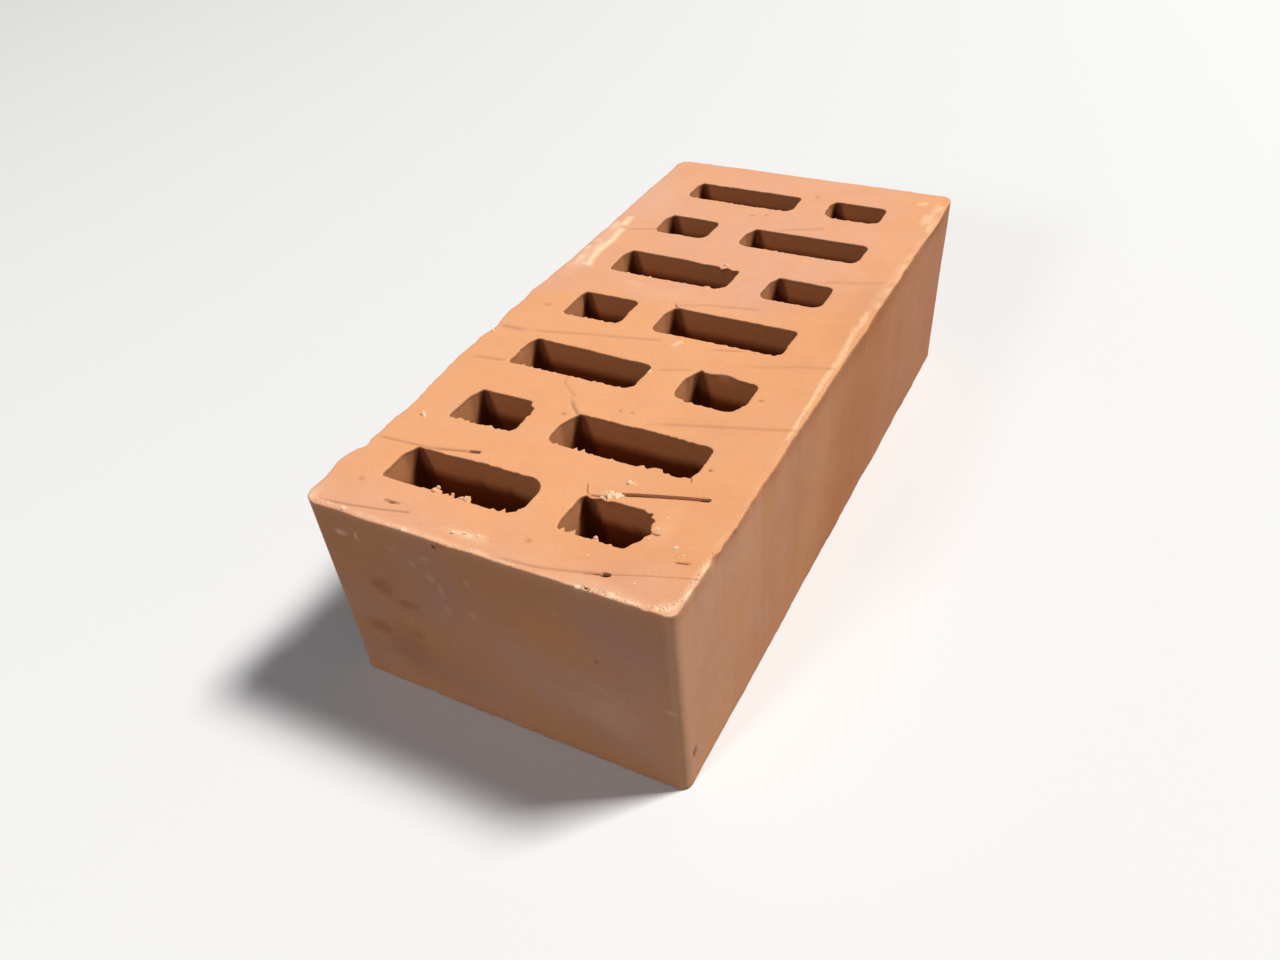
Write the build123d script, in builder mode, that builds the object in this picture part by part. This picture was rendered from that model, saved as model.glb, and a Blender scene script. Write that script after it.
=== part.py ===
"""Perforated clay facing brick, extruded, wire-cut and fired in one piece.

Millimetres. X runs across the brick, Y along it and Z up, from the lower bed to the upper one.
The origin is the centre of the lower bed.
"""

import os

from build123d import *

# Outer size, a normal-format brick lying on its bed
brick_length = 240.0
brick_width = 115.0
brick_height = 71.0

# Walls that the die leaves around and between the slots
side_wall = 17.0
end_wall = 16.5
cross_web = 12.0

# Slots: rows across the brick, each row one long slot and one short one
row_count = 7
slot_width = 15.0
short_slot = 23.0
long_slot = brick_width - 2 * side_wall - cross_web - short_slot

# Roundings: upright arrises and slot corners come from the die, bed arrises from handling
upright_arris_radius = 4.0
slot_corner_radius = 3.0
bed_arris_radius = 0.8

# Places of the slots
row_pitch = (brick_length - 2 * end_wall - slot_width) / (row_count - 1)
first_row_y = -brick_length / 2 + end_wall + slot_width / 2
long_slot_x = brick_width / 2 - side_wall - long_slot / 2
short_slot_x = brick_width / 2 - side_wall - short_slot / 2


def cut_row(row):
    """Cut one row of slots; the long slot changes sides from row to row."""
    y = first_row_y + row * row_pitch
    long_side = -1 if row % 2 == 0 else 1
    with Locations((long_side * long_slot_x, y)):
        RectangleRounded(long_slot, slot_width, slot_corner_radius, mode=Mode.SUBTRACT)
    with Locations((-long_side * short_slot_x, y)):
        RectangleRounded(short_slot, slot_width, slot_corner_radius, mode=Mode.SUBTRACT)


with BuildPart() as brick:
    # The column as it leaves the die, seen along the extrusion
    with BuildSketch(Plane.XY) as column:
        RectangleRounded(brick_width, brick_length, upright_arris_radius)
        for row in range(row_count):
            cut_row(row)
    # Two wire cuts make the beds
    extrude(amount=brick_height)
    beds = brick.faces().filter_by(Axis.Z).sort_by(Axis.Z)
    bed_rims = beds[0].outer_wire().edges() + beds[-1].outer_wire().edges()
    fillet(bed_rims, bed_arris_radius)

brick.part.label = "brick"

os.makedirs("parts", exist_ok=True)
export_step(brick.part, "parts/brick.step")
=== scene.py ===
"""A perforated clay brick, dressed for its photograph: wire-cut beds, ragged slot rims and a dented arris.

The model is in millimetres while it is built and goes to Blender in metres. X runs across the brick,
Y along it and Z up, with the origin at the centre of the lower bed, as in the frame.
Places on the upper bed are given as the distance across and along it from its near left corner.
"""

import math
from collections import namedtuple

import bmesh
import bpy
import numpy as np
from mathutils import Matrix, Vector
from mathutils.geometry import delaunay_2d_cdt
from mathutils.kdtree import KDTree


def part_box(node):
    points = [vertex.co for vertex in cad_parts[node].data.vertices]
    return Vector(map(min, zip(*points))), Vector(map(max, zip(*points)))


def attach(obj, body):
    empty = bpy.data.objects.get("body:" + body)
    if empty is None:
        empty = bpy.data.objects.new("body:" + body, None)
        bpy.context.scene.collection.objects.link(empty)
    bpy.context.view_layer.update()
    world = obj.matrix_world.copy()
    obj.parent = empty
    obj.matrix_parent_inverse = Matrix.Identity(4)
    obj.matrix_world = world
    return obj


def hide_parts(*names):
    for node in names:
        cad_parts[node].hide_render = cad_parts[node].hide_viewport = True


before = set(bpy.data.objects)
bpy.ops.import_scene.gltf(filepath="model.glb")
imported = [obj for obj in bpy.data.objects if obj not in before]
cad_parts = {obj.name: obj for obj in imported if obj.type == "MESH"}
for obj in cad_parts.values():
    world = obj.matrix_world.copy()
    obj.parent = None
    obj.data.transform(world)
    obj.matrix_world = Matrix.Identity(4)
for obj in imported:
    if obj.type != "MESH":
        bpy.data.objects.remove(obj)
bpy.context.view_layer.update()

MM = 0.001
node_low, node_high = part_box("brick")
width, length, height = (np.array(node_high - node_low) / MM).round(3)

# Slots as the die leaves them: rows of one long and one short slot, changing sides from row to row
row_count = 7
side_wall = 17
end_wall = 16.5
slot_width = 15
short_slot = 23
cross_web = 12
long_slot = width - 2 * side_wall - cross_web - short_slot
row_pitch = (length - 2 * end_wall - slot_width) / (row_count - 1)

# How far the sides of each slot of this brick stand from that pattern: left, near, right and far side at its
# left end, how much the far side falls towards its right end, the radii of its near left, near right and far
# right corners, and how far the left side leans in at the far left corner
Slot = namedtuple("Slot", "left near right far fall near_left near_right far_right lean")
long_slots = (
    Slot(-2, 0, -1.8, 0, -0.9, 1.4, 4.8, 5.8, 1.9),
    Slot(-1.8, -1.1, -0.2, -0.4, 0.3, 3.4, 3, 2.6, 2.8),
    Slot(-0.5, -1.5, -1.3, -0.7, 1.2, 1.2, 4, 1.9, 1.6),
    Slot(-1.2, -0.5, -1, 0.4, 0.1, 3, 3.2, 1.9, 2),
    Slot(0.1, -0.3, 0, 0.8, 1.2, 2, 3.8, 2.2, 1.7),
    Slot(1.4, 0.4, 1.7, -0.3, 0.3, 4.2, 3.4, 2.2, 2.1),
    Slot(0.6, 0, -0.6, -1.2, 0.4, 3.2, 3.4, 2, 1.3),
)
short_slots = (
    Slot(-2.3, 0.2, -2.3, 0.4, 0, 1.6, 4.4, 2.2, 1.1),
    Slot(-1, -1.4, -0.9, -0.5, 0.2, 1, 3.4, 3.8, 2.1),
    Slot(-0.5, -0.7, -0.8, 0.5, 0.3, 5, 5.4, 2.6, 2.2),
    Slot(0.1, -1.1, -0.7, -0.3, 0, 1.5, 3.6, 2.2, 1),
    Slot(0.6, -0.8, 0.2, -0.4, 0.5, 3.8, 3.8, 2.2, 2),
    Slot(1.7, 0.6, 0.5, 0.2, 0.3, 3.4, 3.6, 2, 1.5),
    Slot(-0.1, 0.2, -1.3, -0.8, 0.6, 4.2, 3.4, 2.2, 1.4),
)
far_left_radius = 0.6
lean_radius = 5
lean_slope = 2.4

# Painted shadow on each slot's far wall beside its far left corner, where the left wall shades it: its width
# at the rim, how much it widens with depth, and how much further from the corner a wall other than the far
# one counts
corner_shadow_width = 1.8
corner_shadow_spread = 0.24
off_far_side = 9

# Corners of the dried and fired brick against the true box, anticlockwise from the near left one: across,
# along and up at the upper bed, across and along at the lower bed
top_shifts = ((0.1, -0.6, -0.5), (0.4, 0.9, 0.1), (2.1, 0.5, -0.3), (-0.4, 0.8, 0.3))
bottom_shifts = ((0.2, -0.7), (0.3, 0.8), (0.6, 0.2), (0, 0.2))
arris_radii = (4.6, 2.9, 4.4, 4.6)

# Roundings where the beds meet the sides and the slots
bed_arris = 0.5
slot_rim = 0.32
rounding_angles = (0, 30, 60, 90)

# Mesh spacings
outline_step = 0.9
rim_step = 0.8
bed_step = 0.94
lower_bed_step = 1.8
detail_gap = 0.25
rim_clearance = 0.5
sharp_angle = math.radians(38)

# Depths of the rings down the outer sides and down the slots, closer together at the beds and round the pit
outer_depths = (
    1.3, 2, 3, 4.5, 7,
    *np.arange(10.5, height - 14.5, 3.7),
    *np.arange(height - 14.4, height - 9.4, 0.95),
    height - 7, height - 4, height - 2,
)
slot_depths = (0.9, 1.6, 2.6, 4.2, 7.5, 13, 21, 33, 48, 60, height - 4, height - 1.5)

# Swellings (plus) and hollows (minus) of the upper left and right arrises: distance along the brick, reach
# and half length
left_waves = (
    (6, 0.4, 7), (17, 1.4, 8), (26.4, -1.5, 3.2), (33, -0.7, 8), (48, -1.2, 14), (78, 1, 16), (90, 0.8, 6),
    (106, 1.3, 10), (122, 1.1, 12), (137, 0.8, 10),
)
right_waves = (
    (23, -0.6, 1.8), (26.4, 0.3, 2.4), (34, 0.3, 12), (60, 0.2, 8), (172, 0.4, 6), (216, 0.7, 16),
)
left_lip = 5
right_lip = 2
foot_lip = 2.2

# Small pit low on the right side, near the header, and the burnt spot round it: half sizes along and up
pit_y, pit_z = 6 - length / 2, 12
pit_reach = (0.9, 1.9)
spot_reach = (1.8, 2.8)
pit_depth = 0.9

# A painted highlight lightens the near right arris all the way up, where the header's shade meets the lit
# right side
arris_highlight_x, arris_highlight_y = width / 2 - 0.7, 1.7 - length / 2
arris_highlight_reach = 2.6

# Burrs (plus) that hang over the slots where the wire left them, and nicks (minus) in the rims: across,
# along, reach and half width
burrs = (
    (33.4, 17, 3.7, 1.1), (34.9, 17, 1.8, 1), (39.2, 17, 2.1, 0.8), (42.4, 17, 1.2, 0.9),
    (44, 17.2, 4, 1.2), (57.5, 18.6, 1, 2.2), (84.4, 17.4, 3.1, 1.1), (88.5, 17.6, 0.5, 1),
    (94.2, 19.2, 1.2, 2.4), (95.3, 24.6, -1.3, 1.5), (94.4, 27.9, 1.2, 1.1), (94.8, 31, 1.5, 1.4),
    (92.2, 32.2, 0.9, 1.2), (79.5, 31.8, 0.7, 1.6), (75.2, 31.8, 1.3, 2.6), (73.6, 30.4, -0.5, 0.8),
    (73.6, 18.4, 0.5, 2), (38.2, 62.6, 1.9, 2.2), (38.6, 56.8, -0.6, 0.9), (96.6, 49.4, 0.8, 1.6),
    (85, 96.4, -1.2, 4.2), (77, 96.2, -0.8, 1.2), (94.5, 83.6, 1, 2.6), (78, 81.8, 0.8, 2.2),
    (16.6, 87, -0.7, 1), (55.6, 159.6, 1.7, 1.3), (59.8, 160.2, 1.4, 2), (60.4, 146.2, 1, 2),
)

# Cuts with sharp edges, such as the groove that a dragged stone left, cracks and small pits: points, half
# width, depth and tint, as for the marks, folds and rims below
# The tint of a cut is partly its dark clay and partly painted shade in its hollow
cuts = (
    (((80.4, 34.6), (84, 35.8), (90, 37.7), (96, 39.5), (104.3, 41.8)), 0.62, 0.8, 0.56),
    (((103.3, 41.55), (104.4, 41.85)), 0.68, 1.3, 0.97),
    (((83, 36), (95, 39.6), (103.4, 41.9)), 0.16, 0.2, 0.9),
    (((73.6, 32), (72.4, 33.4), (71.6, 35.2)), 0.22, 0.3, 0.42),
    (((75, 32), (77.2, 32.6), (79.2, 33.4)), 0.35, 0.5, 0.8),
    (((32.4, 35.2), (34.8, 35.8)), 0.55, 0.5, 0.85),
    (((96.4, 24.8), (98.6, 24.7)), 0.26, 0.4, 0.7),
    (((96.4, 48.4), (97.2, 46.9)), 0.16, 0.3, 0.45),
    (((107.4, 17.8), (109.8, 18.4)), 0.2, 0.4, 0.65),
    (((92.7, 7.1), (93.5, 7.3)), 0.66, 1.3, 1),
    (((90.4, 6.4), (92.7, 7.1)), 0.26, 0.5, 0.8),
    (((94.4, 7.8), (103, 11), (108, 12.6), (114, 14.6)), 0.15, 0.15, 0.36),
    (((88, 5.6), (92, 7.1)), 0.2, 0.3, 0.45),
    (((88.9, 0.4), (89.6, 1.5), (91.4, 1.4), (91.8, 0.6)), 0.28, 0.6, 0.95),
    (((51.4, 129.6), (53, 127.6)), 0.22, 0.4, 0.7),
    (((22.8, 8.3), (26.8, 8.5)), 0.42, 0.3, 0.42),
    (((24.2, 8.1), (25.4, 8.2)), 0.36, 0.4, 0.75),
)

# Faint marks that the cutting wire dragged across the bed
marks = (
    (((0.8, 31.1), (11.5, 31.6), (20.5, 32.2)), 0.5, 0.14, 0.34),
    (((20, 32.2), (29.3, 34.4), (34.5, 35.6)), 0.6, 0.3, 0.5),
    (((4.2, 1.5), (13.9, 2.7), (23.5, 4.5), (32, 6.6)), 0.42, 0.14, 0.42),
    (((62, 1.6), (75, 2.6), (83, 4.5), (90, 6.6)), 0.5, 0.16, 0.32),
    (((46.6, 68), (49.4, 64.9), (53.4, 61.6)), 0.55, 0.25, 0.46),
    (((44, 68), (46.6, 70), (40, 75), (38.7, 79)), 0.55, 0.08, 0.16),
    (((3.2, 77.9), (7, 78.3), (13.9, 79.3)), 0.64, 0.14, 0.28),
    (((0.9, 97.2), (9.5, 97.4)), 1, 0.14, 0.3),
    (((9, 97.4), (20, 99.6), (32, 102.4), (56, 107.4)), 0.7, 0.12, 0.24),
    (((74, 66), (80, 68), (93, 72), (103, 75), (114.5, 78.5)), 0.7, 0.14, 0.26),
    (((64, 92), (73, 95.5)), 0.5, 0.12, 0.22),
    (((74.5, 108.3), (83.5, 110.6)), 0.45, 0.14, 0.3),
    (((88, 103), (95, 105.5), (105, 109.5), (114, 112)), 0.7, 0.12, 0.2),
    (((50, 131), (53, 130), (62, 133), (78, 136)), 0.7, 0.12, 0.22),
    (((7.6, 175), (19.6, 179.1)), 0.6, 0.12, 0.28),
    (((90, 160), (112, 167)), 0.9, 0.1, 0.16),
    (((62, 192), (78, 199)), 0.9, 0.1, 0.22),
)

# Raised folds of cream slip along the arrises: their depth is a height
folds = (
    (((7.6, 144.8), (6.6, 150), (6.1, 156), (6.6, 164.6), (5.9, 173.6)), 1.55, 0.25, 0.95),
    (((8.2, 145.2), (5.6, 145)), 1.4, 0.2, 0.85),
    (((4.8, 178.4), (4.3, 183.4)), 1.6, 0.2, 0.8),
    (((113.9, 74), (113.7, 86), (113.5, 102.2)), 0.75, 0.1, 0.55),
    (((113.4, 104), (113.7, 115.1), (114, 124)), 1.05, 0.1, 0.55),
    (((112.1, 217), (111.9, 221)), 1.9, 0.08, 0.48),
    (((62.6, 106.8), (63.4, 108.8)), 1.1, 0.12, 0.6),
    (((48.6, 5.3), (53.4, 5.6)), 0.62, 0.1, 0.5),
    (((55.4, 6.4), (57, 6.8)), 0.5, 0.1, 0.45),
    (((58.2, 1.4), (62, 1.7)), 0.5, 0.08, 0.4),
)

# Broken cream rims where slip dried along the arrises: their depth is a height
rims = (
    (((2, 1.2), (30, 0.6), (60, 0.8), (88, 1)), 0.42, 0.06, 0.32),
    (((88, 0.9), (97.8, 1.4), (109, 1.6), (113.4, 3.4), (114.4, 9), (114.4, 20)), 0.85, 0.1, 0.8),
    (((114, 25), (114.2, 50), (113.8, 74)), 0.5, 0.04, 0.14),
    (((113.5, 120), (113.2, 132), (113.6, 146)), 1.5, 0.08, 0.48),
    (((114.7, 146), (115, 165), (114.8, 186), (115.4, 205), (115.8, 222)), 0.95, 0.06, 0.42),
    (((107, 230.6), (111.4, 231.6)), 1.7, 0.06, 0.5),
    (((113.4, 210), (113.8, 229)), 1.8, 0.06, 0.45),
    (((3.6, 145), (3, 160), (3.2, 177)), 2.9, 0.06, 0.62),
)

# Dark specks of burnt matter and small pits: across, along, reach across, reach along and strength, as for
# the pale places
specks = (
    (10, 13, 1.4, 0.9, 0.25), (68.5, 10, 1.1, 0.8, 0.3), (99.8, 53.3, 0.7, 0.5, 0.8),
    (48, 61, 1.1, 0.8, 0.35), (63.3, 68.5, 0.7, 0.6, 0.4), (66.8, 69.2, 0.7, 0.6, 0.45),
    (100, 88.3, 1, 0.6, 0.5), (9, 114.6, 1.8, 1, 0.25), (49, 201, 1, 0.8, 0.4), (54, 203, 0.8, 0.8, 0.35),
    (67, 224, 0.9, 0.8, 0.4),
)

# Pale places: lime bloom and dried slip, thin enough to show the clay
pale_places = (
    (4, 152, 3.2, 16, 0.42), (3, 172, 3, 12, 0.35), (7, 204, 9, 22, 0.16), (31, 138, 4, 1.6, 0.3),
    (47, 135, 16, 5, 0.14), (61.5, 90.6, 0.9, 1.6, 0.7), (113.5, 158, 1.5, 26, 0.24),
    (112, 3.2, 3.4, 2.4, 0.6), (102, 1.8, 9, 1.4, 0.5), (98, 3, 16, 2.4, 0.3), (114, 12, 1.3, 9, 0.5),
    (106, 9, 8, 8, 0.18), (99, 28, 3, 9, 0.16), (78.5, 33.6, 1.9, 1.6, 0.5), (85, 97.2, 2, 0.9, 0.12),
    (52, 5.2, 7, 1.4, 0.5), (40, 1, 30, 1, 0.34), (1.4, 2.4, 1.8, 3, 0.6), (82.5, 40.4, 1.6, 0.9, 0.4),
)

# Marks on the near header, pale, dark and rosy: distance from its left arris, height, reaches and strength
header_pale = (
    (11.6, 61.8, 2.1, 1.2, 1.2), (17.2, 62.4, 0.9, 1.8, 0.85), (1.6, 65, 1.5, 1.6, 0.8),
    (2.2, 60.6, 1.1, 1.1, 0.55), (29, 61.5, 2.6, 1.2, 0.22), (35.6, 58.4, 1.3, 1, 0.46),
    (40.4, 62.2, 1.9, 1, 0.38), (40.8, 55, 1.8, 1.8, 0.34), (43.6, 51, 1.2, 3, 0.34),
    (44, 43.4, 1.6, 2, 0.28), (53.6, 58, 1, 1.5, 0.44), (52.6, 44.8, 1.3, 1.7, 0.32),
    (81, 58, 0.9, 1.2, 0.2), (112.4, 33.8, 1.7, 0.8, 0.6), (93, 24, 12, 9, 0.24),
)
header_dark = (
    (20.8, 44.2, 4.4, 3.6, 0.36), (28.6, 39.8, 4.2, 1.8, 0.33), (14.6, 24.4, 5, 3.4, 0.38),
    (29.6, 27, 2, 1.8, 0.34), (24, 20, 8, 9, 0.2), (84, 30, 8, 2.4, 0.12), (45.4, 68.4, 0.9, 0.8, 0.95),
    (47.6, 69.4, 2, 0.5, 0.4), (91.6, 44.4, 0.8, 0.8, 0.45),
)
header_rose = (
    (9, 34, 9, 8, 0.85), (38, 49, 11, 14, 0.8), (55, 52, 5, 12, 0.5), (64, 34, 16, 11, 0.65),
    (92, 26, 24, 18, 1), (102, 54, 13, 16, 0.85), (46, 12, 24, 8, 0.6), (14, 10, 12, 8, 0.6),
)

# Firing colours of the right side: distance along the brick, how brown and how rosy it is there
right_tones = (
    (8, 0, 0.65), (34, 0.06, 0.5), (63, 0.22, 0.36), (95, 0.24, 0.12), (109, 0.4, 0.02), (127, 0.57, 0),
    (143, 0.52, 0.04), (159, 0.43, 0.18), (175, 0.37, 0.36), (191, 0.38, 0.55), (232, 0.42, 0.65),
)

# Crumbs of clay that the wire left lying on the upper bed: across, along, size, how pale
crumbs_on_bed = (
    (81.2, 34.9, 1.45, 1), (79.5, 33.6, 1.35, 0.7), (80.3, 34.3, 1.2, 0.9), (82.4, 35.4, 0.55, 0.9),
    (78, 34.3, 0.45, 0.7), (77.4, 32.8, 0.6, 0.4), (79.6, 35.4, 0.4, 0.4), (8, 44.8, 1, 1),
    (7, 45.9, 0.6, 0.8), (8.9, 43.9, 0.5, 0.6), (82, 40.2, 0.8, 1), (83.2, 39.8, 0.4, 0.5),
    (104.8, 22.5, 0.65, 1), (107.6, 20.6, 0.4, 0.8), (107, 19.4, 0.35, 0.8), (108.6, 19.9, 0.3, 0.6),
    (14.9, 53.6, 0.55, 0.8), (14.4, 52.7, 0.4, 0.5), (14, 1, 0.6, 0.7), (35.2, 0.5, 0.6, 0.6),
    (48.6, 5, 0.5, 0.8), (51.6, 5.6, 0.6, 0.8), (55.4, 6.4, 0.5, 0.9), (60, 6.2, 0.35, 0.6),
    (61.4, 90.6, 0.6, 0.9), (62.2, 91.8, 0.4, 0.6), (0.7, 93, 0.8, 1), (89.2, 1.2, 0.9, 1),
    (87.4, 0.9, 0.5, 0.6), (33.3, 17, 0.9, 0.2), (33.5, 18.3, 0.75, 0.35), (33.3, 19.2, 0.6, 0.5),
    (33.7, 20.2, 0.5, 0.7), (34.8, 17.6, 0.65, 0.2), (35, 18.6, 0.4, 0.4), (39.1, 17.4, 0.55, 0.2),
    (39.2, 18.1, 0.35, 0.4), (42.6, 17.2, 0.5, 0.2), (44, 17.2, 0.95, 0.2), (43.8, 18.4, 0.85, 0.35),
    (44.2, 19.4, 0.65, 0.55), (44.1, 20.6, 0.55, 0.8), (45, 18.2, 0.45, 0.3), (84.3, 17.6, 0.7, 0.25),
    (84.5, 18.7, 0.55, 0.5), (55.8, 160.8, 0.9, 1), (56.6, 161.4, 0.6, 0.8),
)

# Crumbs stuck to the near header: across from its left arris, height, size, how pale
crumbs_on_header = (
    (10.9, 61.4, 0.8, 0.5), (12.2, 62, 0.6, 0.5), (17, 62.4, 0.5, 0.4),
)

# Fine crumbs scattered in strips: from and to (across, along), half width of the strip, how many
crumb_strips = (
    ((62, 0.9), (88, 1), 0.8, 14), ((90, 1.3), (110, 1.6), 1.1, 62), ((110, 2), (114, 6.5), 1.1, 32),
    ((114.2, 7), (114.6, 24), 0.8, 34), ((114.4, 24), (114.8, 48), 0.6, 12),
    ((1.5, 0.8), (20, 0.7), 0.7, 14), ((20, 0.6), (60, 1), 0.7, 16), ((66, 12), (112, 12), 9, 12),
    ((97, 22), (97.6, 33), 0.8, 10), ((114.4, 84), (114.8, 128), 0.6, 14), ((59, 20), (60, 30), 2.5, 8),
)

# Marks of the header reach this far into the brick, and show only this close to it
mark_thickness = 30
header_depth = 5

# Direction in which the wire went through the clay, from across towards along, and the bend of its marks
drag_angle = math.radians(16)
drag_bend = 0.0006

# Colours of the clay, of what is on it, of painted light and shade, and of the crumbs
clay_colour = (0.735, 0.345, 0.158)
rose_colour = (0.688, 0.356, 0.226)
brown_colour = (0.5, 0.165, 0.06)
# Painted highlight of the near right arris
arris_highlight_colour = (0.98, 0.53, 0.29)
# Painted shade inside the slots, and deeper painted shade far down in them
inner_shade_colour = (0.46, 0.172, 0.06)
deep_shade_colour = (0.19, 0.052, 0.009)
pale_colour = (0.9, 0.64, 0.43)
smear_colour = (1, 0.53, 0.35)
scorched_colour = (0.28, 0.065, 0.028)
slip_colour = (0.92, 0.66, 0.41)
# Burnt marks, and painted shade in the cuts, under the slot rims, in the slots' far left corners and on the
# sides
burnt_and_shade_colour = (0.1, 0.033, 0.016)
crumb_colour = (0.8, 0.42, 0.235)

# Floor, which is pale to the eye but throws little light back at the brick
floor_pale = (0.74, 0.735, 0.72)
floor_bounce = (0.1, 0.096, 0.092)
floor_size = 5

# Light: a soft key from above, behind and right, a low fill from the front and a dim room
brick_middle = Vector((0, 0, height / 2 * MM))
key_direction = Vector((0.45, 0.36, 0.88))
key_distance, key_size, key_power = 6, 1.2, 460
key_colour = (1, 1, 1)
fill_direction = Vector((-0.18, -0.85, 0.46))
fill_distance, fill_size, fill_power = 1.6, 0.27, 6.2
fill_colour = (0.98, 0.98, 1.06)
room_glow = (0.06, 0.06, 0.06)
room_seen = (0.86, 0.86, 0.85)

# Camera of the photograph, in metres and degrees, and in millimetres at the sensor
camera_place = (0.1375, -0.2557, 0.2448)
camera_turn = (50.18, 4.61, 28)
camera_lens, camera_sensor = 28.225, 36
camera_near_limit = 0.01


def on_bed(across, along):
    """Plan place of a point given from the near left corner of the upper bed."""
    corner = np.array((0.5 - width / 2, -length / 2))
    return corner + np.stack((np.asarray(across, float), np.asarray(along, float)), -1)


def smooth_noise(x, y, seed):
    """Smooth noise from -1 to 1, with features about one unit wide, the same on every run."""
    size = 128
    values = np.random.default_rng(seed).uniform(-1, 1, (size, size))
    column, row = np.floor(x).astype(int), np.floor(y).astype(int)
    u, v = x - column, y - row
    u, v = u * u * (3 - 2 * u), v * v * (3 - 2 * v)

    def corner(i, j):
        return values[(column + i) % size, (row + j) % size]

    near = corner(0, 0) * (1 - u) + corner(1, 0) * u
    far = corner(0, 1) * (1 - u) + corner(1, 1) * u
    return near * (1 - v) + far * v


def bump_of(distance, reach):
    """One at distance 0, falling smoothly to nothing at the reach."""
    share = np.clip(1 - (distance / reach) ** 2, 0, 1)
    return share * share


def rounded_outline(corners, radii, step):
    """Points about one step apart round a convex polygon with rounded corners, in the polygon's order."""
    corners = np.array(corners, float)
    path = []
    for i, corner in enumerate(corners):
        before = corners[i - 1] - corner
        after = corners[(i + 1) % len(corners)] - corner
        before /= np.linalg.norm(before)
        after /= np.linalg.norm(after)
        half_angle = math.acos(float(before @ after)) / 2
        tangent = radii[i] / math.tan(half_angle)
        bisector = (before + after) / np.linalg.norm(before + after)
        centre = corner + bisector * radii[i] / math.sin(half_angle)
        start, end = corner + before * tangent - centre, corner + after * tangent - centre
        turn = math.pi - 2 * half_angle
        for share in np.linspace(0, 1, 13):
            a, b = math.sin((1 - share) * turn), math.sin(share * turn)
            path.append(centre + (a * start + b * end) / math.sin(turn))
    return evenly_spaced(path, step=step)


def evenly_spaced(outline, step=None, count=None):
    """Points spaced evenly along a closed outline, about one step apart or in the given number."""
    closed = np.vstack((outline, outline[:1]))
    run = np.concatenate(([0], np.cumsum(np.linalg.norm(np.diff(closed, axis=0), axis=1))))
    places = np.linspace(0, run[-1], count or round(run[-1] / step), endpoint=False)
    return np.stack([np.interp(places, run, closed[:, k]) for k in (0, 1)], -1)


def outward(points):
    """Unit normals of a closed outline: away from a counter-clockwise one, into a clockwise one."""
    along = np.roll(points, -1, 0) - np.roll(points, 1, 0)
    along /= np.linalg.norm(along, axis=1)[:, None]
    return np.stack((along[:, 1], -along[:, 0]), -1)


def outer_loops():
    """The brick's outline at its upper and at its lower bed, point for point."""
    signs = ((-1, -1), (1, -1), (1, 1), (-1, 1))
    half = np.array((width / 2, length / 2))
    loops = []
    for shifts in (top_shifts, bottom_shifts):
        corners = [np.array(sign) * half + shift[:2] for sign, shift in zip(signs, shifts)]
        loops.append(rounded_outline(corners, arris_radii, outline_step))
    top, bottom = loops
    return top, evenly_spaced(bottom, count=len(top))


def slot_loops():
    """Outline of each slot, clockwise, so that its normals point into the slot, and its far left corner."""
    loops = []
    for row in range(row_count):
        row_y = (row - (row_count - 1) / 2) * row_pitch
        side = -1 if row % 2 == 0 else 1
        long_x = side * (width / 2 - side_wall - long_slot / 2)
        short_x = -side * (width / 2 - side_wall - short_slot / 2)
        pair = ((long_x, long_slot, long_slots[row]), (short_x, short_slot, short_slots[row]))
        for centre_x, slot_length, slot in pair:
            x0, x1 = centre_x - slot_length / 2 + slot.left, centre_x + slot_length / 2 + slot.right
            y0, y1 = row_y - slot_width / 2 + slot.near, row_y + slot_width / 2 + slot.far
            bend, far_left = (x0, y1 - lean_slope * slot.lean), (x0 + slot.lean, y1)
            corners = ((x0, y0), bend, far_left, (x1, y1 - slot.fall), (x1, y0))
            radii = (slot.near_left, lean_radius, far_left_radius, slot.far_right, slot.near_right)
            loops.append((rounded_outline(corners, radii, rim_step), far_left))
    return loops


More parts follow.
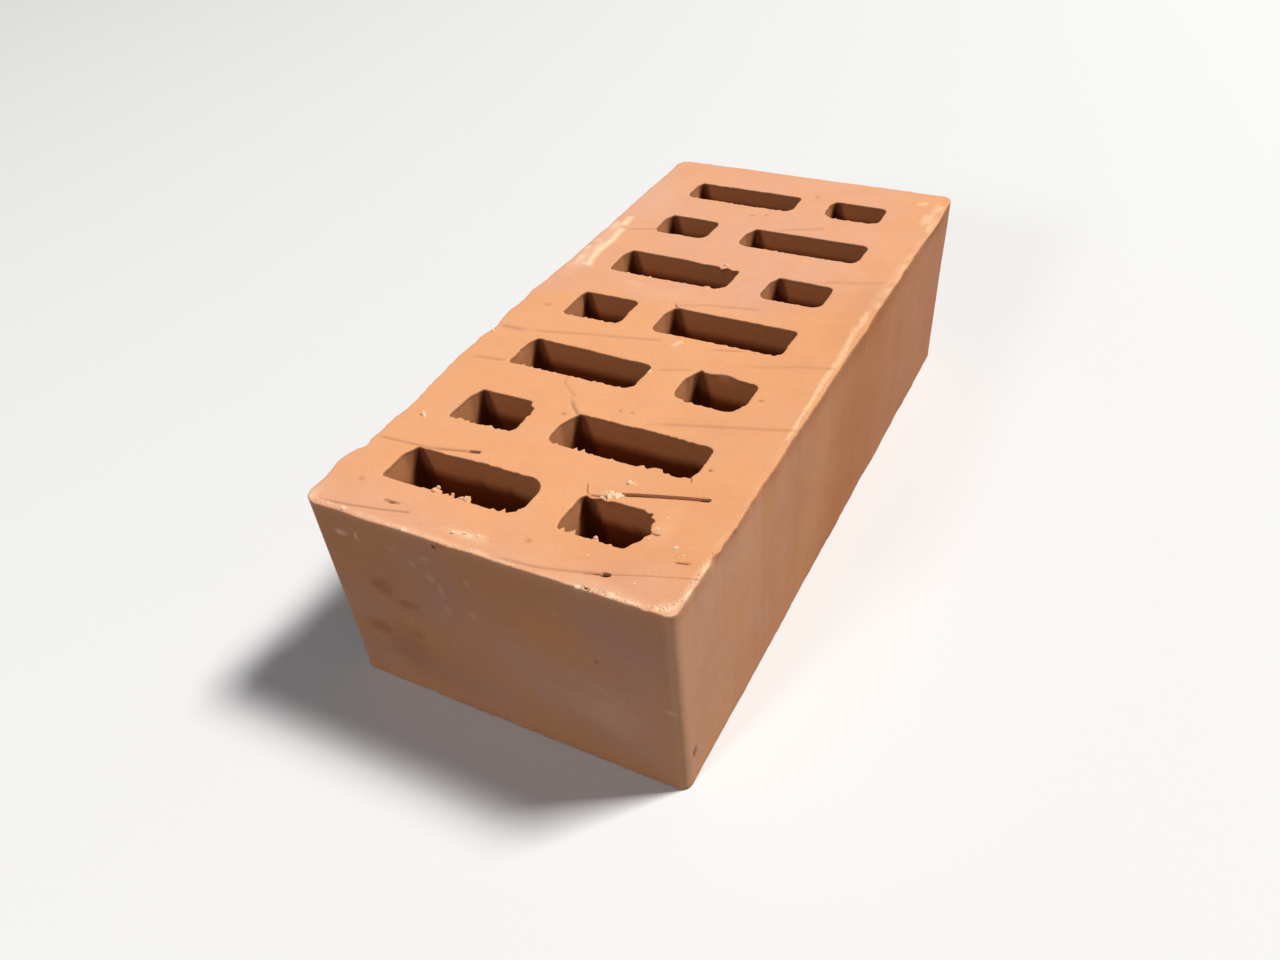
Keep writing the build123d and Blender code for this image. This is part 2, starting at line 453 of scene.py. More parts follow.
class Loop:
    """A closed outline with what roughens it: normals towards the open side and displacements along them."""

    def __init__(self, top, bottom, rounding, outer, shaded_corner=(0, 0)):
        self.top, self.bottom = top, bottom
        self.normal = outward(top)
        self.rounding = rounding
        self.outer = outer
        x, y = top.T
        swell, ripple = (0.16, 0.1) if outer else (0.26, 0.14)
        self.coarse = swell * smooth_noise(x / 9, y / 9, 3) + ripple * smooth_noise(x / 3.2, y / 3.2, 4)
        patches = np.clip(0.75 + 0.7 * smooth_noise(x / 6, y / 6, 6), 0.4, 1.2)
        teeth = patches * np.maximum(0, smooth_noise(x / 1.1, y / 1.1, 5)) ** 1.3
        near_rim = np.clip(self.normal[:, 1], 0, 1) * np.clip(1.05 - (y + length / 2) / 260, 0.4, 1)
        facing_near = np.clip(-self.normal[:, 1], 0, 1)
        self.teeth = teeth * (0.45 if outer else 0.3 + 1.6 * near_rim + 0.12 * facing_near)
        # Distance from the far left corner, where the painted shadow on the far wall lies
        self.from_corner = np.linalg.norm(top - shaded_corner, axis=1) + off_far_side * (facing_near < 0.3)
        self.ragged_foot = 0.15 + 0.5 * facing_near if outer else np.ones(len(x))
        self.burr = np.zeros(len(x))
        self.lips = []
        if outer:
            for waves, side, reach_down in ((left_waves, -1, left_lip), (right_waves, 1, right_lip)):
                facing = np.clip(self.normal[:, 0] * side, 0, 1)
                lip = np.zeros(len(x))
                for along, reach, half_length in waves:
                    lip += reach * facing * bump_of(y + length / 2 - along, half_length)
                self.lips.append((lip, reach_down))
        else:
            for across, along, reach, half_width in burrs:
                distance = np.linalg.norm(top - on_bed(across, along), axis=1)
                self.burr += reach * bump_of(distance, half_width * 1.25)

    def ring(self, inset, depth):
        """Plan of the outline at a depth under the upper bed, drawn back into the clay by the inset."""
        share = depth / height
        plan = self.top * (1 - share) + self.bottom * share
        below = height - depth
        out = self.coarse * (0.3 + 0.7 * math.exp(-depth / 8))
        out += self.teeth * (math.exp(-depth / 1.3) + 0.5 * self.ragged_foot * math.exp(-below / 1.2))
        out += self.burr * math.exp(-((depth / 1.5) ** 2))
        for lip, reach_down in self.lips:
            out += lip * math.exp(-((depth / reach_down) ** 2))
        if self.outer:
            x, y = plan.T
            ragged = 0.55 + 0.6 * smooth_noise(x / 1.6, y / 1.6, 7)
            out += side_relief(plan, depth)
            out += 0.55 * ragged * self.ragged_foot * math.exp(-((below / foot_lip) ** 2))
        return plan + self.normal * (out - inset)[:, None]


def side_relief(plan, depth):
    """Gentle waves of the sides, drawn out along the way the clay left the die, with one pit."""
    x, y = plan.T
    around = x - y
    relief = 0.18 * smooth_noise(around / 15, np.full(len(x), depth / 40), 11)
    relief += 0.06 * smooth_noise(around / 7, np.full(len(x), depth / 14), 12)
    relief += 0.04 * smooth_noise(around / 2.6, np.full(len(x), depth / 5), 13)
    from_pit = np.hypot((y - pit_y) / pit_reach[0], (height - depth - pit_z) / pit_reach[1])
    relief -= pit_depth * bump_of(from_pit, 1) * (x > 0)
    return relief


def tilt(plan):
    """Height of the upper bed over its true plane, from its four corners."""
    u = np.clip(plan[:, 0] / width + 0.5, 0, 1)
    v = np.clip(plan[:, 1] / length + 0.5, 0, 1)
    near_left, near_right, far_right, far_left = [shift[2] for shift in top_shifts]
    near = near_left * (1 - u) + near_right * u
    far = far_left * (1 - u) + far_right * u
    return near * (1 - v) + far * v


def distance_to_path(plan, path):
    """Distance of plan points from a polyline with square ends, and their place along it, from 0 to 1."""
    path = [on_bed(*point) for point in path]
    runs = [np.linalg.norm(b - a) for a, b in zip(path, path[1:])]
    best = np.full(len(plan), np.inf)
    place = np.zeros(len(plan))
    done = 0
    for a, b, run in zip(path, path[1:], runs):
        way = (b - a) / run
        along = (plan - a) @ way
        share = np.clip(along / run, 0, 1)
        sideways = (plan - a) @ np.array((-way[1], way[0]))
        distance = np.maximum(abs(sideways), abs(along - share * run))
        closer = distance < best
        best = np.where(closer, distance, best)
        place = np.where(closer, (done + share * run) / sum(runs), place)
        done += run
    return best, place


def drag_coordinates(plan):
    """Across and along the direction in which the wire went through the clay."""
    x, y = plan.T
    along = x * math.cos(drag_angle) + y * math.sin(drag_angle)
    across = y * math.cos(drag_angle) - x * math.sin(drag_angle) + drag_bend * x * x
    return across, along


def bed_relief(plan):
    """Height of the upper bed at plan points, and how dark (burnt or painted shade in cuts), pale and thick
    with slip it is.
    """
    x, y = plan.T
    across, along = drag_coordinates(plan)
    relief = 0.1 * smooth_noise(across / 7, along / 70, 21)
    relief += 0.04 * smooth_noise(across / 2.6, along / 30, 22)
    relief += 0.03 * smooth_noise(x / 1.4, y / 1.4, 23)
    dark, slip = np.zeros((2, len(plan)))
    for points, half_width, depth, tint in cuts:
        distance, _ = distance_to_path(plan, points)
        mark = np.clip((half_width + 0.14 - distance) / 0.3, 0, 1)
        relief -= depth * mark
        dark = np.maximum(dark, tint * mark)
    for points, half_width, depth, tint in marks:
        distance, place = distance_to_path(plan, points)
        mark = bump_of(distance, half_width * 1.5) * np.clip(place * 6, 0.3, 1)
        relief -= depth * mark
        dark = np.maximum(dark, tint * mark)
    from_corner = plan - on_bed(0, 0)
    burnt = painted(from_corner, specks, 1.4)
    relief -= 0.5 * burnt
    dark = np.maximum(dark, burnt)
    uneven = smooth_noise(x / 1.6, y / 2.8, 25)
    for points, half_width, rise, tint in folds:
        distance, _ = distance_to_path(plan, points)
        mark = ramp(1.25 - (distance + 0.35 * uneven) / half_width, 0, 1)
        relief += rise * mark
        slip = np.maximum(slip, tint * mark)
    patches = np.clip(0.5 + 1.3 * smooth_noise(x / 1.7, y / 3.6, 26), 0, 1)
    for points, half_width, rise, tint in rims:
        distance, _ = distance_to_path(plan, points)
        mark = ramp(1.3 - (distance / half_width + 0.5 * uneven), 0, 1) * patches
        relief += rise * mark
        slip = np.maximum(slip, tint * mark)
    pale = painted(from_corner, pale_places)
    relief += pale * (0.05 + 0.2 * smooth_noise(x / 0.9, y / 0.9, 24))
    return relief, dark, pale, slip


def painted(points, blots, reach=1.5):
    """Strongest of the blots at points that are given in the blots' own coordinates."""
    strongest = np.zeros(len(points))
    for across, along, reach_across, reach_along, strength in blots:
        offset = (points - (across, along)) / (reach_across, reach_along)
        strongest = np.maximum(strongest, bump_of(np.linalg.norm(offset, axis=1), reach) * strength)
    return strongest


def ramp(value, start, end):
    """From 0 at the start to 1 at the end, smoothly."""
    share = np.clip((value - start) / (end - start), 0, 1)
    return share * share * (3 - 2 * share)


def bed_tones(plan):
    """How rosy the upper bed is, most at its near edge and in its far half, and how brown, at the right."""
    x, y = plan.T
    along = y + length / 2
    across_drag = drag_coordinates(plan)[0]
    clouds = smooth_noise(x / 20, y / 20, 51)
    near = 0.55 * np.exp(-((along / 16) ** 2))
    far = 0.66 * ramp(across_drag + 6 * clouds, 2, 24) * (1 - 0.55 * ramp(x, 34, 50))
    far *= 1 - 0.2 * ramp(along, 212, 230)
    rose = np.clip(near + far + 0.12 * ramp(-x, 44, 56) + 0.16 * clouds, 0, 1)
    brown = 0.11 * ramp(x, 12, 36) * (1 - 0.6 * ramp(along, 150, 175))
    brown += 0.16 * ramp(x, 42, 54) * bump_of(along - 148, 40)
    brown += 0.22 * np.exp(-(((x - 50) / 14) ** 2) - ((along - 6) / 12) ** 2)
    return rose, brown


def side_tints(plan, z):
    """Painted shade and a burnt spot by the pit, the near right arris's painted highlight, and how rosy and
    brown the outer sides are.
    """
    x, y = plan.T
    on_header = np.clip(0.5 + (width / 2 - abs(x) - y - length / 2) / 2, 0, 1)
    on_right = np.clip((x - width / 2 + 7) / 4, 0, 1) * (1 - on_header)
    on_rest = (1 - on_header) * (1 - on_right)
    face = np.stack((x + width / 2, z), -1)
    # Painted shade: the header darker upwards, to the left and at the top of its right half, the right side
    # darker to its far end, to its foot and just under its upper arris
    dark = (0.02 + 0.13 * ramp(-x, -20, 40)) * ramp(z, 0, 16) + 0.09 * ramp(z, 26, 56)
    dark = (dark + 0.06 * ramp(z, 40, 66) * ramp(x, -25, 5)) * on_header
    dark += (0.01 + 0.05 * ramp(y, -90, 20) + 0.06 * ramp(height - z, 10, height)) * on_right
    dark += 0.1 * ramp(z, 62, 69) * ramp(y, -55, -20) * on_right
    around = x - y
    bands = smooth_noise(around / 22, z / 50 + 0.02 * around, 52)
    clouds = smooth_noise(around / 12, z / 10, 54)
    places, brown_at, rose_at = np.array(right_tones).T
    shifted = y + length / 2 + 0.28 * (height / 2 - z)
    right_rose = np.interp(shifted, places, rose_at) + 0.12 * bands + 0.14 * clouds
    right_brown = np.interp(shifted, places, brown_at) + 0.06 * bands - 0.06 * clouds
    rose = (1.25 * painted(face, header_rose, 1.8) + 0.34 * clouds) * on_header
    rose += right_rose * on_right + (0.15 + 0.2 * bands + 0.15 * clouds) * on_rest
    brown = right_brown * on_right + (0.16 + 0.12 * bands) * on_rest
    warm_foot = np.exp(-((z / 3) ** 2))
    rose *= 1 - 0.8 * warm_foot
    brown += (0.09 + 0.1 * warm_foot) * on_header
    # More brown to the far end; the brown at the top of the right side is painted shade under the lip of its
    # upper arris
    brown += (0.04 * ramp(y, -20, 20) + 0.14 * ramp(z, 61, 69)) * on_right
    under_rim_shade = bump_of(z - 68.2, 1.7) * ramp(140 - y - length / 2, 0, 50) * on_right
    brown += 0.3 * under_rim_shade * (0.6 + 0.4 * smooth_noise(around / 4, around * 0, 55))
    # Painted highlight on the near right arris, which also takes the painted shade off it
    arris_highlight = 0.66 * bump_of(np.hypot(x - arris_highlight_x, y - arris_highlight_y), arris_highlight_reach)
    dark *= 1 - arris_highlight
    from_pit = np.hypot((y - pit_y) / spot_reach[0], (z - pit_z) / spot_reach[1])
    dark = np.maximum(dark, 0.9 * bump_of(from_pit, 1) * (x > 0))
    return dark, arris_highlight, np.clip(rose, 0, 1.2), np.clip(brown, 0, 1)


def bed_look(plan):
    """Height of the upper bed at plan points, and its masks by name."""
    relief, dark, pale, slip = bed_relief(plan)
    rose, brown = bed_tones(plan)
    return relief, {"dark": dark, "pale": pale, "slip": slip, "rose": rose, "brown": brown}


def slot_tints(loop, depth):
    """Painted shade of a slot's wall at a depth: inside, far down, under the rim and in the far left
    corner's shadow.
    """
    facing_right, facing_far = np.clip(loop.normal.T, 0, 1)
    # Painted shade inside the slots, less on the walls that face the light from the right
    inner = (1 - math.exp(-depth / 0.7)) * (1 - 0.3 * facing_right)
    reach = corner_shadow_width + corner_shadow_spread * min(depth, 20)
    # Painted shadow on the far wall beside the far left corner, where the left wall shades it
    corner_shadow = ramp(reach + 0.6 - loop.from_corner, 0, 1.5) * ramp(depth, 0.1, 0.8)
    # Painted shade far down the slots, sooner on their near walls
    deep = np.maximum(ramp(depth, 5 - 3 * facing_far, 20 - 8 * facing_far), corner_shadow)
    # Painted shadow under the slot rims and in the far left corner
    dark = np.maximum(0.35 * bump_of(depth - 0.75, 0.95), 0.45 * corner_shadow)
    return inner, deep, dark


def inside(points, outline):
    """Which of many points lie inside a closed outline."""
    x, y = points.T
    hit = np.zeros(len(points), bool)
    for (x0, y0), (x1, y1) in zip(outline, np.roll(outline, -1, 0)):
        crosses = (y0 > y) != (y1 > y)
        if crosses.any():
            hit ^= crosses & (x < (x1 - x0) * (y - y0) / (y1 - y0 + 1e-12) + x0)
    return hit


def hexagonal(step):
    """A triangular lattice of points over the whole bed."""
    rise = step * math.sqrt(3) / 2
    rows = np.arange(-length / 2 - 2, length / 2 + 2, rise)
    columns = np.arange(-width / 2 - 3, width / 2 + 3, step)
    x, y = np.meshgrid(columns, rows)
    x += (np.arange(len(rows)) % 2)[:, None] * step / 2
    return np.stack((x.ravel(), y.ravel()), -1)


def detail_points():
    """Closer points where a cut, a mark, a fold, a rim or a speck needs them."""
    points = []

    def follow(path, offsets, spacing):
        path = [on_bed(*point) for point in path]
        for a, b in zip(path, path[1:]):
            run = np.linalg.norm(b - a)
            sideways = np.array(((a - b)[1], (b - a)[0])) / run
            for share in np.linspace(0, 1, max(2, round(run / spacing))):
                points.extend(a + (b - a) * share + sideways * offset for offset in offsets)

    for path, half_width, _, _ in cuts:
        rows = [half_width - 0.16, half_width + 0.16, half_width + 0.5]
        follow(path, [0, *rows, *(-row for row in rows)], 0.4)
    thin_marks = [mark for mark in marks if mark[1] < 0.65]
    for lines, rows, spacing in (
        (thin_marks, (-1.5, -0.8, 0, 0.8, 1.5), 0.7),
        (folds, (-1.2, -0.6, 0, 0.6, 1.2), 0.6),
        (rims, (-1, 0, 1), 0.7),
    ):
        for path, half_width, _, _ in lines:
            follow(path, [row * half_width for row in rows], spacing)
    for across, along, reach_across, reach_along, _ in specks:
        for x in np.arange(-1.2, 1.3, 0.4):
            for y in np.arange(-1.2, 1.3, 0.4):
                points.append(on_bed(across, along) + (x * reach_across, y * reach_along))
    return np.array(points)


def thinned(points, kept, gap):
    """The points that stay a gap away from the kept ones and from each other, first come first served."""
    tree = KDTree(len(kept))
    for i, point in enumerate(kept):
        tree.insert((*point, 0), i)
    tree.balance()
    chosen = []
    cells = {}
    for point in points:
        if tree.find((*point, 0))[2] < gap:
            continue
        cell = (int(point[0] // gap), int(point[1] // gap))
        around = [cells.get((cell[0] + i, cell[1] + j), ()) for i in (-1, 0, 1) for j in (-1, 0, 1)]
        if any(np.hypot(*(point - other)) < gap for group in around for other in group):
            continue
        cells.setdefault(cell, []).append(point)
        chosen.append(point)
    return np.array(chosen)


def in_clay(points, rings):
    """Which points lie in the clay: inside the outline and in no slot."""
    found = inside(points, rings[0])
    for ring in rings[1:]:
        close = ((points > ring.min(0)) & (points < ring.max(0))).all(1)
        found[close] &= ~inside(points[close], ring)
    return found


def bed_mesh(rings, step, details=()):
    """Plan points and triangles of one bed between its rings. The ring points come first, in their order."""
    rim = np.vstack(rings)
    fill = np.empty((0, 2))
    if len(details):
        fill = thinned(details[in_clay(details, rings)], rim, detail_gap)
    lattice = hexagonal(step)
    lattice = lattice[in_clay(lattice, rings)]
    fixed = np.vstack((rim, fill))
    lattice = thinned(lattice, fixed, min(rim_clearance, step * 0.6))
    points = np.vstack((fixed, lattice))
    edges = []
    start = 0
    for ring in rings:
        count = len(ring)
        edges += [(start + i, start + (i + 1) % count) for i in range(count)]
        start += count
    made = delaunay_2d_cdt([Vector(point) for point in points], edges, [], 0, 1e-5, True)
    triangles, origins = np.array(made[2]), made[3]
    if len(origins) != len(points) or any(len(origin) != 1 for origin in origins):
        raise ValueError("two points of a bed meet, or its outlines cross")
    triangles = np.array([origin[0] for origin in origins])[triangles]
    kept = in_clay(points[triangles].mean(1), rings)
    return points, [tuple(triangle) for triangle in triangles[kept].tolist()]


def depths_of(loop):
    """Insets and depths of a loop's rings, from the upper bed to the lower one."""
    radius = loop.rounding
    angles = [math.radians(angle) for angle in rounding_angles]
    upper = [(radius * (1 - math.sin(angle)), radius * (1 - math.cos(angle))) for angle in angles]
    lower = [(inset, height - depth) for inset, depth in reversed(upper)]
    return upper + [(0, depth) for depth in (outer_depths if loop.outer else slot_depths)] + lower


def placed(name, data):
    """A new object of the scene, made of the data."""
    made = bpy.data.objects.new(name, data)
    bpy.context.scene.collection.objects.link(made)
    return made


def mesh_object(name, points, faces, masks):
    """A new mesh object, from points in millimetres, with each mask as a value at its points."""
    mesh = bpy.data.meshes.new(name)
    mesh.from_pydata((points * MM).tolist(), [], faces)
    for mask, values in masks.items():
        layer = mesh.attributes.new(mask, "FLOAT", "POINT")
        layer.data.foreach_set("value", np.array(values, np.float32))
    return placed(name, mesh)


# Masks of the mesh: the inner and deep ones and part of the dark one paint shade, and one paints a highlight
# on the near right arris
mask_names = ("dark", "pale", "slip", "rose", "brown", "arris_highlight", "inner", "deep", "bed")


def build_brick():
    """One closed mesh: two beds joined by the rings of the outline and of every slot."""
    loops = [Loop(*outer_loops(), bed_arris, True)]
    loops += [Loop(points, points, slot_rim, False, far_left) for points, far_left in slot_loops()]
    vertices, masks, faces = [], [], []

    def add(plan, z, **mask):
        first = sum(len(block) for block in vertices)
        vertices.append(np.column_stack((plan, z)))
        masks.append(np.column_stack([np.zeros(len(plan)) + mask.get(name, 0) for name in mask_names]))
        return first

    top_rings = [loop.ring(*depths_of(loop)[0]) for loop in loops]
    bottom_rings = [loop.ring(*depths_of(loop)[-1]) for loop in loops]
    plan, triangles = bed_mesh(top_rings, bed_step, detail_points())
    relief, tints = bed_look(plan)
    add(plan, height + tilt(plan) + relief, bed=1, **tints)
    faces += triangles
    plan, triangles = bed_mesh(bottom_rings, lower_bed_step)
    hollow = 0.12 + 0.12 * smooth_noise(plan[:, 0] / 6, plan[:, 1] / 9, 31)
    first = add(plan, hollow, rose=0.5 + hollow, bed=1)
    faces += [tuple(first + i for i in reversed(triangle)) for triangle in triangles]

    top_start, bottom_start = 0, first
    for loop in loops:
        count = len(loop.top)
        starts = [top_start]
        for inset, depth in depths_of(loop)[1:-1]:
            plan = loop.ring(inset, depth)
            near_bed = math.exp(-depth / 1.2)
            relief, tints = bed_look(plan)
            tints = {name: value * near_bed for name, value in tints.items()}
            z = (height - depth) * (1 + tilt(plan) / height) + relief * near_bed
            if loop.outer:
                dark, tints["arris_highlight"], rose, brown = side_tints(plan, z)
                tints["dark"] = np.maximum(tints["dark"], dark * (1 - near_bed))
                tints["rose"] += rose * (1 - near_bed)
                tints["brown"] += brown * (1 - near_bed)
            else:
                tints["inner"], tints["deep"], dark = slot_tints(loop, depth)
                tints["dark"] = np.maximum(tints["dark"], dark)
            starts.append(add(plan, z, bed=near_bed, **tints))
        starts.append(bottom_start)
        for upper, lower in zip(starts, starts[1:]):
            for i in range(count):
                j = (i + 1) % count
                faces.append((lower + i, lower + j, upper + j, upper + i))
        top_start += count
        bottom_start += count

    brick = mesh_object("fired_brick", np.vstack(vertices), faces, dict(zip(mask_names, np.vstack(masks).T)))
    brick.data.shade_smooth()
    brick.data.set_sharp_from_angle(angle=sharp_angle)
    brick.data.update()
    return brick, top_rings


def crumb_shape(rng, subdivisions):
    """Points and faces of one ragged lump of about unit radius."""
    lump = bmesh.new()
    bmesh.ops.create_icosphere(lump, subdivisions=subdivisions, radius=1)
    points = np.array([vertex.co for vertex in lump.verts])
    faces = [tuple(vertex.index for vertex in face.verts) for face in lump.faces]
    lump.free()
    shift = rng.uniform(0, 90, 2)
    u, v = points[:, 0] + 0.5 * points[:, 2], points[:, 1] - 0.5 * points[:, 2]
    ragged = 0.42 * smooth_noise(u * 1.3 + shift[0], v * 1.3 + shift[1], 61)
    if subdivisions > 1:
        ragged += 0.22 * smooth_noise(u * 2.9 + shift[1], v * 2.9 + shift[0], 62)
    return points * (1 + ragged)[:, None], faces


def build_crumbs(rings):
    """All crumbs as one mesh of closed lumps, each set a little into the clay under it."""
    rng = np.random.default_rng(73)
    vertices, faces, paleness = [], [], []

    def place(centre, size, squash, pale):
        points, lump_faces = crumb_shape(rng, 3 if size > 0.9 else 2 if size > 0.42 else 1)
        turn = rng.uniform(0, 2 * math.pi)
        spin = np.array(((math.cos(turn), -math.sin(turn)), (math.sin(turn), math.cos(turn))))
        points = points * rng.uniform(0.75, 1.2, 3) * size
        points[:, :2] = points[:, :2] @ spin.T
        points = points * squash * rng.choice((0.8, 1.15), 3) + centre
        first = sum(len(block) for block in vertices)
        vertices.append(points)
        faces.extend(tuple(first + i for i in face) for face in lump_faces)
        paleness.extend([pale] * len(points))

    def on_upper_bed(across, along, size, pale):
        plan = on_bed(across, along)[None]
        if not in_clay(plan, rings)[0]:
            return
        top = height + tilt(plan)[0] + bed_relief(plan)[0][0]
        place(np.array((*plan[0], top + 0.05 * size)), size, (1, 1, 0.75), pale)

    for across, along, size, pale in crumbs_on_bed:
        on_upper_bed(across, along, size, pale)
    for across, up, size, pale in crumbs_on_header:
        place(np.array((across - width / 2, -length / 2 - 0.1, up)), size, (1.3, 0.5, 0.8), pale)
    for start, end, spread, count in crumb_strips:
        start, end = np.array(start), np.array(end)
        for _ in range(count):
            across, along = start + (end - start) * rng.uniform() + rng.normal(0, spread / 2, 2)
            on_upper_bed(across, along, rng.uniform(0.14, 0.36), rng.uniform(0.4, 1))

    return mesh_object("clay_crumbs", np.vstack(vertices), faces, {"pale": paleness})


def add_node(tree, kind, inputs, **settings):
    """A new shader node with its settings made and its inputs set or linked."""
    node = tree.nodes.new("ShaderNode" + kind)
    for name, value in settings.items():
        setattr(node, name, value)
    for name, value in inputs.items():
        if isinstance(value, bpy.types.NodeSocket):
            tree.links.new(value, node.inputs[name])
        else:
            node.inputs[name].default_value = value
    return node


def mixed(tree, factor, first, second):
    """A colour between two colours or colour sockets."""
    ends = [end if isinstance(end, bpy.types.NodeSocket) else (*end, 1) for end in (first, second)]
    node = add_node(tree, "Mix", {"Factor": factor, "A": ends[0], "B": ends[1]}, data_type="RGBA")
    return node.outputs["Result"]


def calculated(tree, operation, first, second=0, third=0):
    """What a math node makes of up to three numbers or sockets."""
    node = add_node(tree, "Math", {0: first, 1: second, 2: third}, operation=operation)
    return node.outputs[0]


def combined(tree, operation, first, second):
    """What a vector math node makes of two vectors or colours, or of one and a number."""
    return add_node(tree, "VectorMath", {0: first, 1: second}, operation=operation).outputs[0]


def mask_of(tree, name):
    """A mask of the mesh, by its name."""
    return add_node(tree, "Attribute", {}, attribute_name=name).outputs["Fac"]


def grain(tree, place, size, turn=0, detail=3, roughness=0.6):
    """Noise with features of the given size in millimetres, or one size for each axis, turned about Z."""
    turned = add_node(tree, "Mapping", {"Vector": place, "Rotation": (0, 0, -turn)}, vector_type="POINT")
    scale = [1 / (float(reach) * MM) for reach in np.broadcast_to(size, 3)]
    scaled = add_node(tree, "Mapping", {"Vector": turned.outputs[0], "Scale": scale}, vector_type="POINT")
    inputs = {"Vector": scaled.outputs[0], "Scale": 1, "Detail": detail, "Roughness": roughness}
    return add_node(tree, "TexNoise", inputs).outputs["Fac"]


def stepped(tree, value, low, high, bottom=0, top=1):
    """The value's range from low to high, spread smoothly from bottom to top."""
    inputs = {"Value": value, "From Min": low, "From Max": high, "To Min": bottom, "To Max": top}
    node = add_node(tree, "MapRange", inputs, interpolation_type="SMOOTHSTEP")
    return node.outputs["Result"]


def spots(tree, place, blots):
    """Strongest of the blots on the near header, with edges that the grain makes ragged."""
    ragged = grain(tree, place, 1.6)
    strongest = 0
    for across, up, reach_across, reach_up, strength in blots:
        middle = ((across - width / 2) * MM, -length / 2 * MM, up * MM)
        reach = (reach_across * MM, mark_thickness * MM, reach_up * MM)
        scaled = combined(tree, "DIVIDE", combined(tree, "SUBTRACT", place, middle), reach)
        distance = add_node(tree, "VectorMath", {0: scaled}, operation="LENGTH").outputs["Value"]
        uneven = calculated(tree, "MULTIPLY_ADD", ragged, 1.4, distance)
        shown = stepped(tree, uneven, 0.9, 2.2, strength, 0)
        strongest = calculated(tree, "MAXIMUM", shown, strongest)
    along = add_node(tree, "SeparateXYZ", {"Vector": place}).outputs["Y"]
    near = (header_depth - length / 2) * MM
    return calculated(tree, "MULTIPLY", strongest, calculated(tree, "LESS_THAN", along, near))


def new_material(name, roughness, specular):
    """A new material, with its node tree and its shader."""
    material = bpy.data.materials.new(name)
    material.use_nodes = True
    shader = material.node_tree.nodes["Principled BSDF"]
    shader.inputs["Roughness"].default_value = roughness
    shader.inputs["Specular IOR Level"].default_value = specular
    return material, material.node_tree, shader


def surface(tree, shader, colour, relief, strength, depth):
    """Gives a shader its colour and its bumps: a height field, their strength and depth in millimetres."""
    bump = add_node(tree, "Bump", {"Height": relief, "Strength": strength, "Distance": depth * MM})
    tree.links.new(colour, shader.inputs["Base Color"])
    tree.links.new(bump.outputs["Normal"], shader.inputs["Normal"])


def clay_material():
    """Fired clay: firing colours, painted shade and a painted arris highlight, sandy grain, bloom, slip and
    burnt marks.
    """
    material, tree, shader = new_material("fired_clay", 0.9, 0.25)
    place = add_node(tree, "TexCoord", {}).outputs["Object"]

    sand = grain(tree, place, 0.9, detail=4)
    clouds = grain(tree, place, 11)
    drag = grain(tree, place, (30, 1.6, 20), turn=drag_angle)
    drag_shade = stepped(tree, drag, 0.3, 0.72, -0.015, 0.008)
    drag_shade = calculated(tree, "MULTIPLY_ADD", mask_of(tree, "bed"), drag_shade, 1)

    rose = calculated(tree, "MULTIPLY_ADD", stepped(tree, clouds, 0.3, 0.7), 0.36, mask_of(tree, "rose"))
    colour = mixed(tree, calculated(tree, "SUBTRACT", rose, 0.18), clay_colour, rose_colour)
    stains = stepped(tree, grain(tree, place, (14, 14, 7), detail=2), 0.35, 0.75, -0.03, 0.07)
    colour = mixed(tree, calculated(tree, "ADD", mask_of(tree, "brown"), stains), colour, brown_colour)
    # A painted highlight on the near right arris, painted shade inside the slots, and further painted shade
    # far down them
    for name, tint in (("arris_highlight", arris_highlight_colour), ("inner", inner_shade_colour), ("deep", deep_shade_colour)):
        colour = mixed(tree, mask_of(tree, name), colour, tint)
    colour = combined(tree, "MULTIPLY", colour, drag_shade)
    colour = combined(tree, "MULTIPLY", colour, stepped(tree, sand, 0.25, 0.75, 0.965, 1.025))

    flakes = grain(tree, place, 1, detail=4, roughness=0.7)
    pale = mask_of(tree, "pale")
    flaky = stepped(tree, calculated(tree, "MULTIPLY_ADD", flakes, 1.1, pale), 0.93, 1.25, 0, 0.85)
    flaky = calculated(tree, "MAXIMUM", flaky, calculated(tree, "MULTIPLY", pale, 0.6))
    colour = mixed(tree, flaky, colour, pale_colour)
    colour = mixed(tree, spots(tree, place, header_pale), colour, smear_colour)
    broken = stepped(tree, grain(tree, place, (0.7, 1.1, 0.7)), 0.4, 0.6, 0.62, 1.06)
    colour = mixed(tree, calculated(tree, "MULTIPLY", mask_of(tree, "slip"), broken), colour, slip_colour)
    colour = mixed(tree, spots(tree, place, header_dark), colour, scorched_colour)
    # Burnt marks, and painted shade in the cuts, in the slots and on the sides
    colour = mixed(tree, mask_of(tree, "dark"), colour, burnt_and_shade_colour)

    relief = calculated(tree, "MULTIPLY_ADD", drag, 0.3, sand)
    relief = calculated(tree, "MULTIPLY_ADD", flaky, 1.2, relief)
    surface(tree, shader, colour, relief, 0.35, 0.22)
    return material


def crumb_material():
    """Dried slip: from the body's own colour to nearly white, and dusty."""
    material, tree, shader = new_material("dried_slip", 0.95, 0.2)
    place = add_node(tree, "TexCoord", {}).outputs["Object"]
    sand = grain(tree, place, 0.5)
    colour = mixed(tree, mask_of(tree, "pale"), crumb_colour, pale_colour)
    colour = combined(tree, "MULTIPLY", colour, stepped(tree, sand, 0.3, 0.7, 0.86, 1.03))
    surface(tree, shader, colour, sand, 0.4, 0.15)
    return material


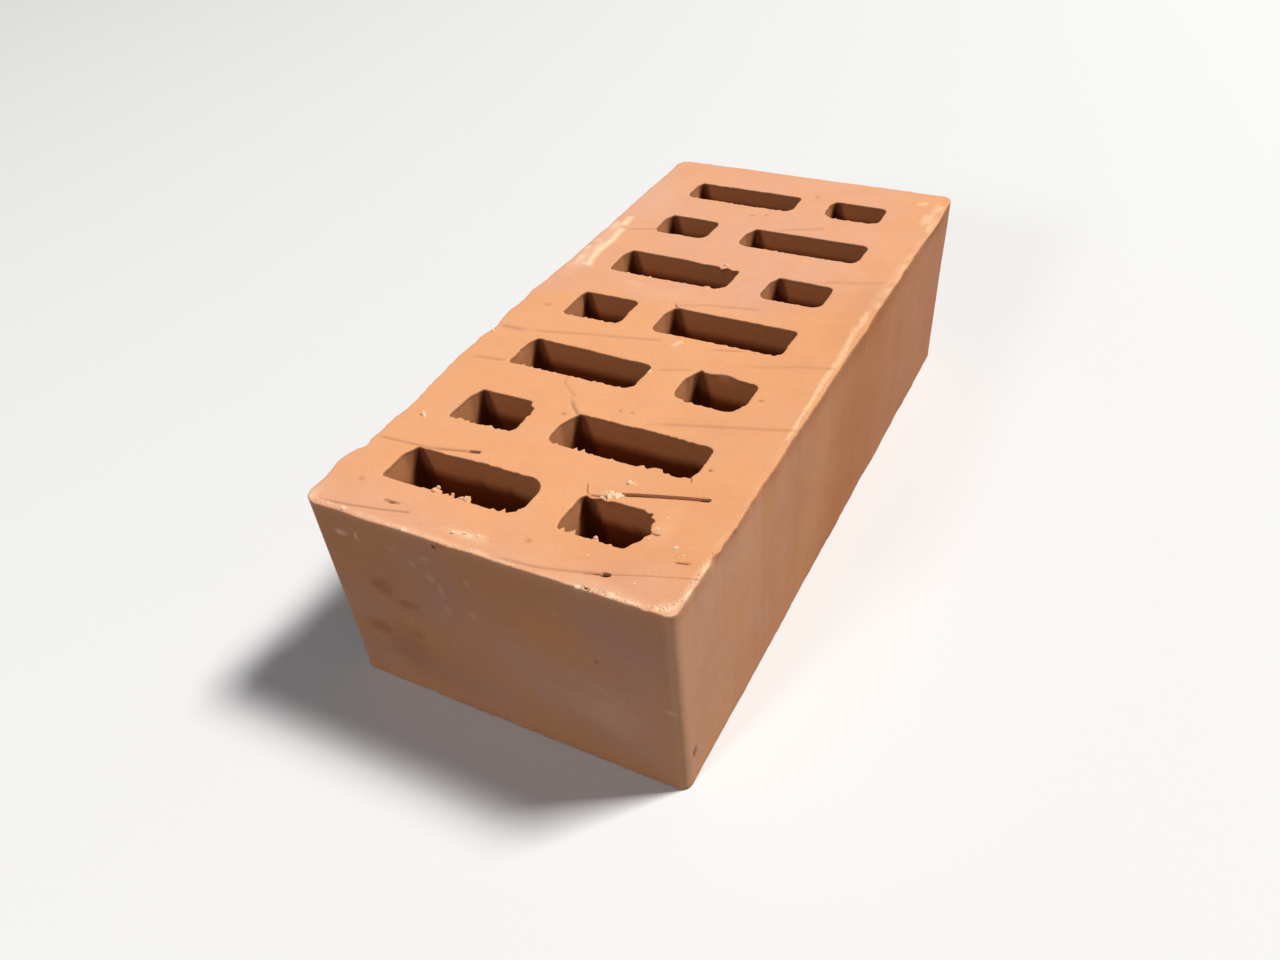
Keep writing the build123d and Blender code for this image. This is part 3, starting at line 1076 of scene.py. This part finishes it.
def two_sided_colour(tree, seen, thrown):
    """A colour for rays from the eye, straight, mirrored or through glass, and another for other light."""
    rays = add_node(tree, "LightPath", {}).outputs
    direct = calculated(tree, "MAXIMUM", rays["Is Camera Ray"], rays["Is Glossy Ray"])
    direct = calculated(tree, "MAXIMUM", direct, rays["Is Transmission Ray"])
    return mixed(tree, direct, thrown, seen)


def make_floor():
    """A plain floor under the brick."""
    bpy.ops.mesh.primitive_plane_add(size=floor_size)
    floor = bpy.context.object
    floor.name = "floor"
    material, tree, shader = new_material("floor", 0.9, 0.1)
    tree.links.new(two_sided_colour(tree, floor_pale, floor_bounce), shader.inputs["Base Color"])
    floor.data.materials.append(material)


def area_light(name, direction, distance, size, power, colour):
    """A square lamp that faces the middle of the brick."""
    data = bpy.data.lights.new(name, "AREA")
    data.shape = "SQUARE"
    data.size = size
    data.energy = power
    data.color = colour
    light = placed(name, data)
    light.location = brick_middle + direction.normalized() * distance
    light.rotation_euler = direction.to_track_quat("Z", "Y").to_euler()


def light_room():
    """The dim light of the room, behind which the eye sees a pale one."""
    world = bpy.data.worlds.new("room")
    world.use_nodes = True
    bpy.context.scene.world = world
    tree = world.node_tree
    tree.links.new(two_sided_colour(tree, room_seen, room_glow), tree.nodes["Background"].inputs["Color"])


def make_camera():
    """The camera of the photograph."""
    data = bpy.data.cameras.new("camera")
    data.sensor_width = camera_sensor
    data.lens = camera_lens
    data.clip_start = camera_near_limit
    camera = placed("camera", data)
    camera.location = camera_place
    camera.rotation_euler = [math.radians(angle) for angle in camera_turn]
    bpy.context.scene.camera = camera


brick, top_rings = build_brick()
crumbs = build_crumbs(top_rings)
crumbs.data.materials.append(crumb_material())
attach(crumbs, "root")
brick.data.materials.append(clay_material())
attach(brick, "root")
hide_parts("brick")

make_floor()
area_light("key", key_direction, key_distance, key_size, key_power, key_colour)
area_light("fill", fill_direction, fill_distance, fill_size, fill_power, fill_colour)
light_room()
make_camera()
bpy.context.scene.view_settings.view_transform = "Standard"
